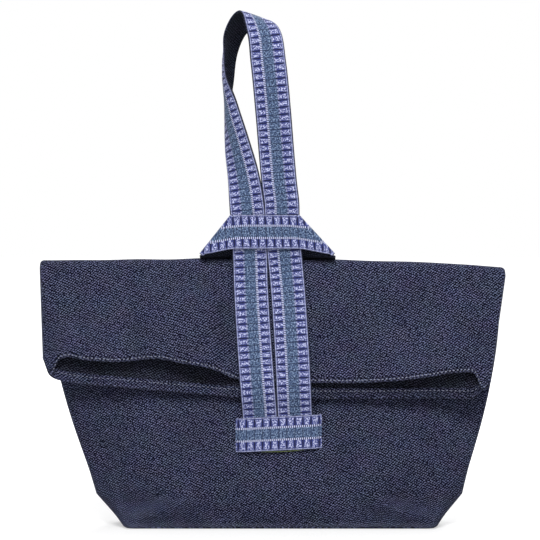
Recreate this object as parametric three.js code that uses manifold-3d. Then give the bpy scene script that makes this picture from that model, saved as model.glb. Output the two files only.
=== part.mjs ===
// Fold-over lunch bag: a boxed denim body whose top is folded down at the front, with its mouth facing down.
// A long strap of ribbon on denim rises from the front, crosses the flap, goes through a short keeper loop
// that is sewn to the back, and ends in a carrying loop.
// Millimetres, +Z up, the front faces -Y. The origin is on the floor under the middle of the base.
import * as THREE from "three";
import { mergeVertices } from "three/addons/utils/BufferGeometryUtils.js";
import Module from "manifold-3d";

// Cloth
const DENIM = 1.2; // body cloth
const RIBBON_THICKNESS = 0.7; // woven ribbon
const BACKING_THICKNESS = 1.2; // denim on the strap's inner side
const CLEARANCE = 0.3; // between layers that lie on each other

// Body
const BASE_WIDTH = 284;
const BASE_DEPTH = 72;
const BASE_SQUARENESS = 14; // the higher, the squarer the base's corners
const GUSSET_WIDTH = 334; // across the tops of the boxed corners
const GUSSET_DEPTH = 74; // front to back at the tops of the boxed corners
const GUSSET_RISE = 33;
const WAIST_WIDTH = 391; // across the side seams, half way up
const WAIST_HEIGHT = 131;
const BODY_ROUNDNESS = 3; // the higher, the flatter the body's front and back
const SEAM_WIDTH = 10; // allowance turned to the inside along each side seam
const SEAM_THICKNESS = 3.6;

// Fold and flap
const FOLD_WIDTH = 424;
const FOLD_HEIGHT = 240.8; // crest of the top fold
const FOLD_SHIFT = -7; // the fold's middle stands to the left of the base's middle
const FOLD_INNER_RADIUS = 2.6; // the inner layer's bend
const FOLD_LAP = 50; // how far the two halves of each layer lap at the fold, in degrees
const OUTER_DROP = 90; // down the flap to the outer lip of the mouth
const INNER_DROP = 107; // down the flap to the inner lip
const LIP_TILT = 6; // both lips hang this much lower at the right, and higher at the left
const MOUTH_WIDTH = 410;
const MOUTH_SHIFT = -10;
const MOUTH_GAPE = 9; // how far the outer lip stands off beside the strap
const HEM_DEPTH = 9;

// Strap
const RIBBON_WIDTH = 31;
const STRIP_GAP = 1; // between the two strips, side by side
const STRAP_FOOT_X = -2.6; // middle of the strap at the patch
const STRAP_LEAN = 3.6; // the strap leans to the left, in degrees
const STRIP_OVER = 9; // the strips on the flap rise this far past the start of the fold
const NECK_START = 8; // the stretch behind the keeper starts this far above the fold's axis

// Patches that hold the ends of the strap and of the keeper
const PATCH_BOTTOM = 68.5;
const PATCH_HEIGHT = 32;
const PATCH_BORDER = 8; // beyond the strips on each side
const PATCH_TUCK = 4; // the strips stop this far above the patch's lower edge

// Keeper
const BAND_RISE = 12; // from the crest to the band's lower edge
const TIP_DROP = 5; // the band's ends hang this much lower
const KEEPER_EASE = 0.8; // free play of the strap on each side

// Carrying loop: how far its path goes from its hinge
const LOOP_RISE = 181; // up
const LOOP_BACK = 27; // to the back, at its left side
const LOOP_FRONT = 11; // to the front, at its right side
const LOOP_LEFT = 34; // to the left

// Mesh fineness
const HALF_COLUMNS = 8; // across half a panel
const ARC_STEP = 15; // degrees
const BODY_ROWS = 9;
const FLAP_ROWS = 6;
const LOOP_RINGS = 56;

// Worked-out sizes
const strapThickness = RIBBON_THICKNESS + CLEARANCE + BACKING_THICKNESS;
const layerStep = strapThickness + CLEARANCE; // from one strap's middle to that of the next one on it
const clothStep = DENIM + CLEARANCE;
const seamHalfDepth = (SEAM_THICKNESS + DENIM) / 2 + CLEARANCE; // from a side seam's middle to each panel
const frontBend = FOLD_INNER_RADIUS; // radii about the fold's axis, from the inside out
const innerBend = frontBend + clothStep;
const backBend = frontBend + 2 * seamHalfDepth;
const outerBend = backBend + clothStep;
const axisY = -seamHalfDepth - frontBend;
const axisZ = FOLD_HEIGHT - outerBend - DENIM / 2;
const panelsBottom = DENIM + CLEARANCE;
const patchTop = PATCH_BOTTOM + PATCH_HEIGHT;
const bandBottom = FOLD_HEIGHT + BAND_RISE;
const bandTop = bandBottom + RIBBON_WIDTH;
const bandTip = bandBottom - TIP_DROP;
const stripReach = (RIBBON_WIDTH + STRIP_GAP) / 2; // from the strap's middle to each strip's middle
const stripsReach = stripReach + RIBBON_WIDTH / 2; // and to the strap's edge
const loopHingeZ = bandTop + strapThickness / 2 + 3 * CLEARANCE;

const wasm = await Module();
wasm.setup();

const radians = THREE.MathUtils.degToRad;
const lerp = THREE.MathUtils.lerp;
const smoothstep = THREE.MathUtils.smoothstep;

const bag = new THREE.Group();
const denimCloth = new THREE.MeshStandardMaterial({ color: 0x2b2d40, roughness: 0.95, metalness: 0 });
const insideCloth = new THREE.MeshStandardMaterial({ color: 0x1c1e2b, roughness: 0.95, metalness: 0 });
const ribbonCloth = new THREE.MeshStandardMaterial({ color: 0x7076a3, roughness: 0.8, metalness: 0 });
const backingCloth = new THREE.MeshStandardMaterial({ color: 0x14161f, roughness: 0.95, metalness: 0 });

function add(name, geometry, material) {
  const mesh = new THREE.Mesh(geometry, material);
  mesh.name = name;
  bag.add(mesh);
}

// Values from start to end in equal steps, both ends included.
function steps(start, end, count) {
  return Array.from({ length: count + 1 }, (_, i) => lerp(start, end, i / count));
}

// A smooth function through a few places and their values.
function smoothThrough(places, values) {
  const interpolant = new THREE.CubicInterpolant(places, values, 1);
  return (at) => interpolant.evaluate(at)[0];
}

// A closed geometry from two facing grids of points, each [row][column], with the rims walled in.
function closedSheet(front, back) {
  const rows = front.length;
  const columnCount = front[0].length;
  const positions = [...front.flat(), ...back.flat()].flatMap((p) => [p.x, p.y, p.z]);
  const at = (row, column, side) => side * rows * columnCount + row * columnCount + column;
  const faces = [];
  const quad = (a, b, c, d) => faces.push(a, b, c, a, c, d);
  const lastRow = rows - 1;
  const lastColumn = columnCount - 1;
  for (let r = 0; r < lastRow; r++) {
    for (let c = 0; c < lastColumn; c++) {
      quad(at(r, c, 0), at(r, c + 1, 0), at(r + 1, c + 1, 0), at(r + 1, c, 0));
      quad(at(r, c, 1), at(r + 1, c, 1), at(r + 1, c + 1, 1), at(r, c + 1, 1));
    }
    quad(at(r, 0, 0), at(r + 1, 0, 0), at(r + 1, 0, 1), at(r, 0, 1));
    quad(at(r, lastColumn, 1), at(r + 1, lastColumn, 1), at(r + 1, lastColumn, 0), at(r, lastColumn, 0));
  }
  for (let c = 0; c < lastColumn; c++) {
    quad(at(0, c, 1), at(0, c + 1, 1), at(0, c + 1, 0), at(0, c, 0));
    quad(at(lastRow, c, 0), at(lastRow, c + 1, 0), at(lastRow, c + 1, 1), at(lastRow, c, 1));
  }
  const geometry = new THREE.BufferGeometry();
  geometry.setAttribute("position", new THREE.Float32BufferAttribute(positions, 3));
  geometry.setIndex(faces);
  return geometry;
}

// Cloth of even thickness about a grid of points, [row][column].
function cloth(grid, thickness) {
  const along = (list, i) => {
    const next = list[Math.min(i + 1, list.length - 1)];
    return next.clone().sub(list[Math.max(i - 1, 0)]);
  };
  const offset = (share) =>
    grid.map((row, r) =>
      row.map((p, c) => {
        const column = grid.map((other) => other[c]);
        const normal = along(row, c).cross(along(column, r)).normalize();
        return p.clone().addScaledVector(normal, share * thickness);
      }),
    );
  return closedSheet(offset(0.5), offset(-0.5));
}

// A flat strip along a list of stations, each with its middle, its width direction and its two half widths.
// The layer lies off the middle line by offset, towards the strip's outer face.
function strip(stations, offset, thickness) {
  const face = (height) =>
    stations.map((here, i) => {
      const before = stations[Math.max(i - 1, 0)].middle;
      const after = stations[Math.min(i + 1, stations.length - 1)].middle;
      const along = after.clone().sub(before).normalize();
      const outward = here.across.clone().cross(along).normalize();
      const across = along.clone().cross(outward);
      return [-here.left, here.right].map((reach) =>
        here.middle.clone().addScaledVector(outward, height).addScaledVector(across, reach),
      );
    });
  return closedSheet(face(offset + thickness / 2), face(offset - thickness / 2));
}

const ribbonOffset = (strapThickness - RIBBON_THICKNESS) / 2;
const backingOffset = (BACKING_THICKNESS - strapThickness) / 2;

// The ribbon and the denim backing of one stretch of strap, as two named pieces.
function addStrap(name, stations) {
  add(name + "_ribbon", strip(stations, ribbonOffset, RIBBON_THICKNESS), ribbonCloth);
  add(name + "_backing", strip(stations, backingOffset, BACKING_THICKNESS), backingCloth);
}

function station(middle, across = new THREE.Vector3(1, 0, 0), left = RIBBON_WIDTH / 2, right = left) {
  return { middle, across, left, right };
}

// Body surfaces: u runs from -1 at the left side seam to 1 at the right one.
const halfWidthAt = smoothThrough(
  [0, GUSSET_RISE, WAIST_HEIGHT, axisZ],
  [BASE_WIDTH / 2, GUSSET_WIDTH / 2, WAIST_WIDTH / 2, FOLD_WIDTH / 2],
);
const bodySlope = (GUSSET_DEPTH / 2 - seamHalfDepth) / (axisZ - GUSSET_RISE);
const bodyX = (u, z) => (FOLD_SHIFT * z) / axisZ + u * halfWidthAt(z);

// Half the body's depth: boxed at the base, then evenly narrower up to the fold.
function halfDepth(u, z) {
  const boxed = lerp(BASE_DEPTH, GUSSET_DEPTH, z / GUSSET_RISE) / 2;
  const centre = Math.min(boxed, seamHalfDepth + bodySlope * (axisZ - z));
  const power = lerp(BODY_ROUNDNESS, BASE_SQUARENESS, Math.exp(-z / GUSSET_RISE));
  return seamHalfDepth + (centre - seamHalfDepth) * (1 - Math.pow(Math.abs(u), power));
}

// Columns are closer together towards the side seams.
const columns = steps(-1, 1, 2 * HALF_COLUMNS).map((k) => Math.sin((k * Math.PI) / 2));
const sheetOf = (rows, point, across = columns) => rows.map((row) => across.map((u) => point(u, row)));

// Angles about the fold's axis: 0 degrees is the back, and the flap starts where it leaves the bend.
const flapStart = 180 - THREE.MathUtils.radToDeg(Math.atan(bodySlope));
const lapFrom = (flapStart - FOLD_LAP) / 2 - CLEARANCE;
const lapTo = lapFrom + FOLD_LAP;
const bendAngles = (from, to) => steps(from, to, Math.max(1, Math.round((to - from) / ARC_STEP)));

function onBend(x, radius, degrees) {
  const turn = radians(degrees);
  return new THREE.Vector3(x, axisY + radius * Math.cos(turn), axisZ + radius * Math.sin(turn));
}

// The flap is a plane that leaves the bend and runs down along the body's front.
function onFlap(x, radius, down) {
  const turn = radians(flapStart);
  const start = onBend(x, radius, flapStart);
  return start.add(new THREE.Vector3(0, -down * Math.sin(turn), down * Math.cos(turn)));
}

// A place on the flap: u across it, and its share of the way from the fold to a lip.
const flapX = (u, share) => lerp(FOLD_SHIFT, MOUTH_SHIFT, share) + (u * lerp(FOLD_WIDTH, MOUTH_WIDTH, share)) / 2;
const dropAt = (u, drop, share) => (drop + LIP_TILT * u) * share;

// The outer layer stands off the inner one at the mouth, beside the strap.
function gape(u, share) {
  const fromStrap = Math.abs(flapX(u, share) - STRAP_FOOT_X);
  const beside = smoothstep(fromStrap, 1.5 * stripsReach, 4 * stripsReach);
  return MOUTH_GAPE * share * share * beside * (1 - Math.pow(Math.abs(u), 6));
}

const outerLayer = (u, share, lift = 0) =>
  onFlap(flapX(u, share), outerBend + gape(u, share) + lift, dropAt(u, OUTER_DROP, share));
const innerLayer = (u, share, lift = 0) => onFlap(flapX(u, share), innerBend + lift, dropAt(u, INNER_DROP, share));

function addBody() {
  const corners = columns.filter((u) => Math.abs(u) > 0.7); // the long edges are straight
  const rim = (side) =>
    corners.map((u) => new THREE.Vector2(bodyX(u, 0), side * (halfDepth(u, 0) + DENIM / 2)));
  const outline = new THREE.Shape([...rim(-1), ...rim(1).reverse()]);
  add("base_panel", new THREE.ExtrudeGeometry(outline, { depth: DENIM, bevelEnabled: false }), denimCloth);

  const low = steps(panelsBottom, GUSSET_RISE, 3);
  const heights = [...low, ...steps(GUSSET_RISE, axisZ, BODY_ROWS).slice(1)];
  const foldX = (u) => bodyX(u, axisZ);
  const front = [
    ...sheetOf(heights, (u, z) => new THREE.Vector3(bodyX(u, z), -halfDepth(u, z), z)),
    ...sheetOf(bendAngles(0, lapTo).slice(1), (u, angle) => onBend(foldX(u), frontBend, angle)),
  ];
  add("front_panel", cloth(front, DENIM), denimCloth);
  const back = [
    ...sheetOf(heights, (u, z) => new THREE.Vector3(bodyX(u, z), halfDepth(u, z), z)),
    ...sheetOf(bendAngles(0, lapTo).slice(1), (u, angle) => onBend(foldX(u), backBend, angle)),
  ];
  add("back_panel", cloth(back, DENIM), denimCloth);

  for (const [name, side] of [["left", -1], ["right", 1]]) {
    const seam = heights.map((z) =>
      [-SEAM_WIDTH, -DENIM].map((inset) => new THREE.Vector3(bodyX(side, z) + side * inset, 0, z)),
    );
    add(name + "_side_seam", cloth(seam, SEAM_THICKNESS), insideCloth);
  }
}

function addFlap() {
  const shares = steps(0, 1, FLAP_ROWS);
  const outer = [
    ...sheetOf(bendAngles(lapFrom, flapStart).slice(0, -1), (u, angle) => onBend(flapX(u, 0), outerBend, angle)),
    ...sheetOf(shares, (u, share) => outerLayer(u, share)),
  ];
  add("flap_outer", cloth(outer, DENIM), denimCloth);
  const inner = [
    ...sheetOf(bendAngles(lapFrom, flapStart).slice(0, -1), (u, angle) => onBend(flapX(u, 0), innerBend, angle)),
    ...sheetOf(shares, (u, share) => innerLayer(u, share)),
  ];
  add("flap_inner", cloth(inner, DENIM), denimCloth);

  // The hems are turned to the inside of the mouth and stop at the side seams.
  const hemReach = 1 - (2 * (SEAM_WIDTH + DENIM)) / MOUTH_WIDTH;
  const hemColumns = [-hemReach, ...columns.filter((u) => Math.abs(u) < hemReach), hemReach];
  const outerShares = steps(1 - HEM_DEPTH / OUTER_DROP, 1, 2);
  const innerShares = steps(1 - HEM_DEPTH / INNER_DROP, 1, 2);
  const outerHem = sheetOf(outerShares, (u, share) => outerLayer(u, share, -clothStep), hemColumns);
  const innerHem = sheetOf(innerShares, (u, share) => innerLayer(u, share, clothStep), hemColumns);
  add("outer_hem", cloth(outerHem, DENIM), insideCloth);
  add("inner_hem", cloth(innerHem, DENIM), insideCloth);

  const seamBend = (innerBend + outerBend) / 2;
  const seamThickness = outerBend - innerBend - DENIM - 2 * CLEARANCE;
  for (const [name, side] of [["left", -1], ["right", 1]]) {
    const seam = shares.map((share) =>
      [-SEAM_WIDTH, -DENIM].map((inset) =>
        onFlap(flapX(side, share) + side * inset, seamBend, dropAt(side, OUTER_DROP, share)),
      ),
    );
    add("flap_" + name + "_seam", cloth(seam, seamThickness), insideCloth);
  }
}

// The strap's middle line, and the planes it runs in, from the flap outwards.
const strapX = (z) => STRAP_FOOT_X - Math.tan(radians(STRAP_LEAN)) * (z - patchTop);
const layerGap = (DENIM + strapThickness) / 2 + 1.5 * CLEARANCE; // from a panel's middle to that of a strap on it
const stripBend = outerBend + layerGap;
const strapU = (2 * (STRAP_FOOT_X - MOUTH_SHIFT)) / MOUTH_WIDTH;
const stripEnd = dropAt(strapU, OUTER_DROP, 1);
const neckY = onFlap(0, stripBend, 0).y - layerStep;
const bandY = neckY - layerStep;
const legY = neckY + layerStep;

function addStrips() {
  const tuck = PATCH_BOTTOM + PATCH_TUCK;
  const innerLip = innerLayer(strapU, 1, clothStep + layerGap + CLEARANCE);
  const stripFoot = onFlap(0, stripBend, stripEnd + 2 * CLEARANCE);
  const tail = [
    new THREE.Vector3(0, -halfDepth(0, tuck) - layerGap, tuck),
    new THREE.Vector3(0, -halfDepth(0, patchTop) - layerGap, patchTop),
    innerLip,
    stripFoot,
  ];
  const neckEnd = loopHingeZ - strapThickness * 0.9;
  for (const [name, side] of [["left", -1], ["right", 1]]) {
    const at = (p) => station(new THREE.Vector3(strapX(p.z) + side * stripReach, p.y, p.z));
    addStrap(name + "_tail", tail.map(at));
    addStrap(name + "_strip", steps(stripEnd, -STRIP_OVER, FLAP_ROWS).map((down) => at(onFlap(0, stripBend, down))));
    const neck = steps(axisZ + NECK_START, neckEnd, 4);
    addStrap(name + "_neck", neck.map((z) => at(new THREE.Vector3(0, neckY, z))));
  }
}

// A patch of ribbon over the strip ends: it lies on them and comes down to the panel at its border.
function addPatch(name, middleX, reach, outward) {
  const halfWidth = reach + PATCH_BORDER;
  const flatFrom = reach + DENIM;
  const flatTo = reach + PATCH_BORDER * 0.8;
  const across = [-halfWidth, -flatTo, -flatFrom, -reach / 3, reach / 3, flatFrom, flatTo, halfWidth];
  const grid = steps(PATCH_BOTTOM, patchTop, 4).map((z) =>
    across.map((x) => {
      const overStrips = 1 - smoothstep(Math.abs(x), flatFrom, flatTo);
      const lift = (DENIM + RIBBON_THICKNESS) / 2 + CLEARANCE + (strapThickness + 2 * CLEARANCE) * overStrips;
      return new THREE.Vector3(middleX + x, outward * (halfDepth(0, z) + lift), z);
    }),
  );
  add(name, cloth(grid, RIBBON_THICKNESS), ribbonCloth);
}

function solidOf(geometry) {
  const bare = geometry.clone();
  bare.deleteAttribute("normal");
  bare.deleteAttribute("uv");
  const merged = mergeVertices(bare, 1e-4);
  const mesh = new wasm.Mesh({
    numProp: 3,
    vertProperties: new Float32Array(merged.attributes.position.array),
    triVerts: new Uint32Array(merged.index.array),
  });
  return new wasm.Manifold(mesh);
}

function geometryOf(solid) {
  const mesh = solid.getMesh();
  const geometry = new THREE.BufferGeometry();
  geometry.setAttribute("position", new THREE.Float32BufferAttribute(mesh.vertProperties, 3));
  geometry.setIndex([...mesh.triVerts]);
  return geometry;
}

// The keeper: two legs come up the back and over the crest, fold on a slant and join in a band across the strap.
const bandTopReach = stripsReach + KEEPER_EASE; // from the strap's middle to a fold's upper end
const bandTipReach = bandTopReach + RIBBON_WIDTH; // and to its lower end
const legReach = bandTopReach + RIBBON_WIDTH / 2;

function bandLayer(offset, thickness) {
  const corner = (z, reach) => new THREE.Vector2(strapX(z) + reach, z);
  const plate = new THREE.Shape([
    corner(bandTip, -bandTipReach),
    corner(bandBottom, -bandTopReach),
    corner(bandBottom, bandTopReach),
    corner(bandTip, bandTipReach),
    corner(bandTop, bandTopReach),
    corner(bandTop, -bandTopReach),
  ]);
  const flat = new THREE.ExtrudeGeometry(plate, { depth: thickness, bevelEnabled: false });
  flat.rotateX(Math.PI / 2).translate(0, bandY - offset + thickness / 2, 0);
  let solid = solidOf(flat);

  // Each fold is half a ring along the band's slanting edge, with a short tongue into the band.
  const outer = layerStep + offset + thickness / 2;
  const inner = outer - thickness;
  const ring = new THREE.Shape();
  ring.moveTo(-thickness, -outer);
  ring.lineTo(0, -outer);
  ring.absarc(0, 0, outer, -Math.PI / 2, Math.PI / 2, false);
  ring.lineTo(0, inner);
  ring.absarc(0, 0, inner, Math.PI / 2, -Math.PI / 2, true);
  ring.lineTo(-thickness, -inner);
  for (const side of [-1, 1]) {
    const tip = corner(bandTip, side * bandTipReach);
    const top = corner(bandTop, side * bandTopReach);
    const [start, end] = side < 0 ? [top, tip] : [tip, top];
    const along = new THREE.Vector3(end.x - start.x, 0, end.y - start.y);
    const fold = new THREE.ExtrudeGeometry(ring, { depth: along.length(), bevelEnabled: false, curveSegments: 8 });
    along.normalize();
    const depth = new THREE.Vector3(0, 1, 0);
    const outwards = depth.clone().cross(along);
    fold.applyMatrix4(new THREE.Matrix4().makeBasis(outwards, depth, along));
    fold.translate(start.x, neckY, start.y);
    solid = solid.add(solidOf(fold));
  }
  return geometryOf(solid);
}

function addKeeper() {
  add("keeper_band_ribbon", bandLayer(ribbonOffset, RIBBON_THICKNESS), ribbonCloth);
  add("keeper_band_backing", bandLayer(backingOffset, BACKING_THICKNESS), backingCloth);

  // A leg in side view: up the back panel, round the crest and forward to the folds' plane.
  const crestBend = outerBend + layerGap;
  const upBack = steps(PATCH_BOTTOM + PATCH_TUCK, axisZ - crestBend, 6);
  const path = upBack.map((z) => new THREE.Vector3(0, halfDepth(0, z) + layerGap, z));
  path.push(...steps(ARC_STEP, 90, 5).map((angle) => onBend(0, crestBend, angle)));
  const crest = path[path.length - 1];
  const foot = new THREE.Vector3(0, legY, bandTip - strapThickness);
  path.push(crest.clone().lerp(foot, 0.5));
  path.push(...steps(bandTip, bandTop - DENIM, 4).map((z) => new THREE.Vector3(0, legY, z)));
  const slant = RIBBON_WIDTH / (bandTop - bandTip);
  for (const [name, side] of [["left", -1], ["right", 1]]) {
    const stations = path.map((p) => {
      const cut = p.z < bandTip ? 0 : (p.z - bandTip) * slant + DENIM;
      const outerHalf = RIBBON_WIDTH / 2 - cut;
      const [left, right] = side < 0 ? [RIBBON_WIDTH / 2, outerHalf] : [outerHalf, RIBBON_WIDTH / 2];
      const middle = new THREE.Vector3(strapX(p.z) + side * legReach, p.y, p.z);
      return station(middle, new THREE.Vector3(-1, 0, 0), left, right);
    });
    addStrap(name + "_leg", stations);
  }
}

// The carrying loop goes from its right foot up and over to the back, and comes down twisted half round to its
// left foot. Each knot has its place from the hinge and the direction that the ribbon's outer face looks in.
function addLoop() {
  const hinge = new THREE.Vector3(strapX(loopHingeZ), neckY, loopHingeZ);
  const knot = (x, y, z, outward) => ({
    place: hinge.clone().add(new THREE.Vector3(x, y, z)),
    outward: new THREE.Vector3(...outward).normalize(),
  });
  const lean = LOOP_LEFT / 2;
  const knots = [
    knot(stripReach, 0, 0, [0, -1, 0]),
    knot(stripReach * 0.8, -LOOP_FRONT * 0.25, LOOP_RISE * 0.25, [0, -1, 0]),
    knot(stripReach - lean * 0.5, -LOOP_FRONT * 0.7, LOOP_RISE * 0.5, [0.1, -1, 0]),
    knot(0, -LOOP_FRONT, LOOP_RISE * 0.83, [0.1, -0.9, 0.35]),
    knot(-LOOP_LEFT * 0.32, LOOP_BACK * 0.2, LOOP_RISE, [-0.1, 0, 1]),
    knot(-LOOP_LEFT * 0.75, LOOP_BACK * 0.95, LOOP_RISE * 0.88, [-0.5, 0.75, 0.4]),
    knot(-LOOP_LEFT, LOOP_BACK, LOOP_RISE * 0.66, [-1, 0.1, 0]),
    knot(-LOOP_LEFT * 0.85, LOOP_BACK * 0.5, LOOP_RISE * 0.43, [-0.8, -0.6, 0]),
    knot(-stripReach * 1.15, LOOP_BACK * 0.1, LOOP_RISE * 0.16, [-0.4, -0.9, 0]),
    knot(-stripReach, 0, 0, [0, -1, 0]),
  ];
  const path = new THREE.CatmullRomCurve3(knots.map((each) => each.place), false, "centripetal");
  const facing = new THREE.CatmullRomCurve3(knots.map((each) => each.outward));
  const stations = steps(0, 1, LOOP_RINGS).map((t) => {
    const across = path.getTangent(t).cross(facing.getPoint(t)).normalize();
    return station(path.getPoint(t), across);
  });
  addStrap("loop", stations);
}

addBody();
addFlap();
addStrips();
addPatch("front_patch", STRAP_FOOT_X, stripsReach, -1);
addKeeper();
addPatch("back_patch", STRAP_FOOT_X, legReach + RIBBON_WIDTH / 2, 1);
addLoop();

export default bag;
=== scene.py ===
"""Dresses the fold-over lunch bag: denim body and flap, ribbon strap, keeper and sewn patches.

Sizes are in millimetres in the bag's own frame: +Z up, the front faces -Y, the origin under the middle of the base.
"""

from __future__ import annotations

import logging
import math
from dataclasses import dataclass
from enum import Enum

import bpy
import numpy as np
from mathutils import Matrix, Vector

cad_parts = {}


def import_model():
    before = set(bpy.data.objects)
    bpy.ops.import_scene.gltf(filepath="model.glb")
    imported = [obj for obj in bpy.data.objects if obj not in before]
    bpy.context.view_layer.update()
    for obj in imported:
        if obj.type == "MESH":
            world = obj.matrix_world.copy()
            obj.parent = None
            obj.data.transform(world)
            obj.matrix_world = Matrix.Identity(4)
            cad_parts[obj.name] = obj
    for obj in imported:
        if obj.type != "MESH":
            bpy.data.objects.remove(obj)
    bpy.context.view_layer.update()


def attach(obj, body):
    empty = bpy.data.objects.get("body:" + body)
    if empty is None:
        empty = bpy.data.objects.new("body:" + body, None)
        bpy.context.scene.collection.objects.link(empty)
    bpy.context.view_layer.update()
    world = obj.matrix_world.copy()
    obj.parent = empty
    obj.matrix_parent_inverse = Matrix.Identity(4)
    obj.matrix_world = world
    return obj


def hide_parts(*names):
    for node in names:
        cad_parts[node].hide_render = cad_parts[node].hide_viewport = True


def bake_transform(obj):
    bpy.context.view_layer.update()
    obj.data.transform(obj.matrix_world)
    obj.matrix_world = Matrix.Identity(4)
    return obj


LOG = logging.getLogger("lunch_bag")
MM = 0.001
RIBBON_WIDTH = 31.0
RIBBON_HALF = [0, 4, 8, 11.8, 12.8, 13.4, 14.0, 14.8, 15.3, 15.5]  # columns from the ribbon's middle to its edge
SEAM_COLUMNS = (4, 14)  # the columns that the edge stitches follow
STRAP_Y = -19.28  # the strap's middle plane from the keeper up
STITCH_LIFT = 0.02  # stitches lie this far off the cloth
SHARP_ANGLE = 55  # degrees: edges that turn further stay sharp
WAVE_SCALE = 0.314  # at this scale a wave texture repeats once in each unit
Array = np.ndarray


class Panel(Enum):
    """Which of the two cut cloths: each one makes a body panel and one layer of the flap."""

    BACK = 1
    FRONT = -1


class Side(Enum):
    """Left and right, as seen from the front."""

    LEFT = -1
    RIGHT = 1


class Layer(Enum):
    """The strap's two layers: distance of the layer's middle from the strap's middle, and thickness."""

    RIBBON = (0.75, 0.7)
    BACKING = (-0.5, 1.2)

    def face(self) -> float:
        """Distance from the strap's middle to where stitches lie on the layer."""
        return self.value[0] + self.value[1] / 2 + STITCH_LIFT


class DotRows(Enum):
    """Which edges of the ribbon's middle band carry a row of pale dots."""

    ONE = 0.0
    BOTH = 1.0


def linear(code: str) -> tuple[float, float, float, float]:
    """Turns an sRGB hex colour into linear RGBA.

    Args:
        code: Six hex digits after a number sign.

    Returns:
        The linear colour with full alpha.
    """
    parts = [int(code[i : i + 2], 16) / 255 for i in (1, 3, 5)]
    red, green, blue = (p / 12.92 if p <= 0.04045 else ((p + 0.055) / 1.055) ** 2.4 for p in parts)
    return red, green, blue, 1.0


def feed(node: bpy.types.Node, inputs: dict) -> None:
    """Sets or links a node's inputs.

    Args:
        node: The node.
        inputs: Input name or index to a value, or to the output socket that feeds it.
    """
    for key, value in inputs.items():
        if isinstance(value, bpy.types.NodeSocket):
            node.id_data.links.new(value, node.inputs[key])
        else:
            node.inputs[key].default_value = value


def add_node(tree: bpy.types.NodeTree, kind: str, inputs: dict | None = None, **settings: object) -> bpy.types.Node:
    """Adds a node, sets its properties, and sets or links its inputs.

    Args:
        tree: The node tree.
        kind: The node's type name.
        inputs: What feed() takes.
        settings: Properties of the node.

    Returns:
        The new node.
    """
    made = tree.nodes.new(kind)
    for name, value in settings.items():
        setattr(made, name, value)
    feed(made, inputs or {})
    return made


def smoothstep(value: Array | float, low: float, high: float) -> Array:
    """Eases from 0 at low to 1 at high."""
    t = np.clip((np.asarray(value, float) - low) / (high - low), 0, 1)
    return t * t * (3 - 2 * t)


def smooth_through(places: Array, values: Array, at: Array | float) -> Array:
    """A smooth curve through known values.

    Args:
        places: Rising places of the known values.
        values: One value, or one row of values, for each place.
        at: Places to read the curve at.

    Returns:
        The curve's values at those places.
    """
    places, values, at = np.asarray(places, float), np.asarray(values, float), np.asarray(at, float)
    slopes = np.gradient(values, places, axis=0)
    i = np.clip(np.searchsorted(places, at) - 1, 0, len(places) - 2)
    span = places[i + 1] - places[i]
    t = np.clip((at - places[i]) / span, 0, 1)
    if values.ndim > 1:
        t, span = t[..., None], span[..., None]
    start = (2 * t**3 - 3 * t**2 + 1) * values[i] + (t**3 - 2 * t**2 + t) * span * slopes[i]
    return start + (3 * t**2 - 2 * t**3) * values[i + 1] + (t**3 - t**2) * span * slopes[i + 1]


@dataclass(frozen=True)
class Swell:
    """Soft random swells of cloth: about how high, the usual distance from one to the next, and which pattern."""

    height: float
    length: float
    seed: int

    def over(self, x: Array, z: Array | float) -> Array:
        """The swells over a stretch of cloth.

        Args:
            x: Places across the cloth.
            z: Places up the cloth.

        Returns:
            Their height at each place, up or down.
        """
        dice = np.random.default_rng(self.seed)
        total = np.zeros(np.broadcast(x, z).shape)
        for _ in range(9):
            turn = dice.uniform(0, 2 * math.pi)
            pitch = 2 * math.pi / (self.length * dice.uniform(0.7, 1.6))
            total += np.sin(pitch * (np.cos(turn) * x + np.sin(turn) * z) + dice.uniform(0, 2 * math.pi))
        return self.height * (total / 3)


def crease(x: Array, z: Array, start: tuple[float, float], end: tuple[float, float], width: float) -> Array:
    """A soft ridge along a line, 1 on the line and fading to both sides.

    Args:
        x: Places across the cloth.
        z: Places up the cloth.
        start: One end of the line.
        end: The other end of the line.
        width: How far the ridge reaches from the line.

    Returns:
        The ridge's share of its full height at each place.
    """
    run = np.array(end) - np.array(start)
    t = np.clip(((x - start[0]) * run[0] + (z - start[1]) * run[1]) / (run @ run), 0, 1)
    off = np.hypot(x - start[0] - t * run[0], z - start[1] - t * run[1])
    return np.exp(-((off / width) ** 2))


def unit(vectors: Array) -> Array:
    """Scales vectors to length 1."""
    return vectors / np.maximum(np.linalg.norm(vectors, axis=-1, keepdims=True), 1e-9)


def sheet_normals(points: Array) -> Array:
    """Normals of a grid of points, on the side that its faces look to."""
    return unit(np.cross(np.gradient(points, axis=1), np.gradient(points, axis=0)))


def run_length(points: Array) -> Array:
    """Distance along lines of points, from the first row to each row."""
    steps = np.linalg.norm(np.diff(points, axis=0), axis=-1)
    return np.concatenate([np.zeros((1, *steps.shape[1:])), np.cumsum(steps, axis=0)])


def ribbon_columns() -> Array:
    """Places across the ribbon, from one edge to the other, as distances from its middle."""
    return np.array([-h for h in RIBBON_HALF[:0:-1]] + RIBBON_HALF)


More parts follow.
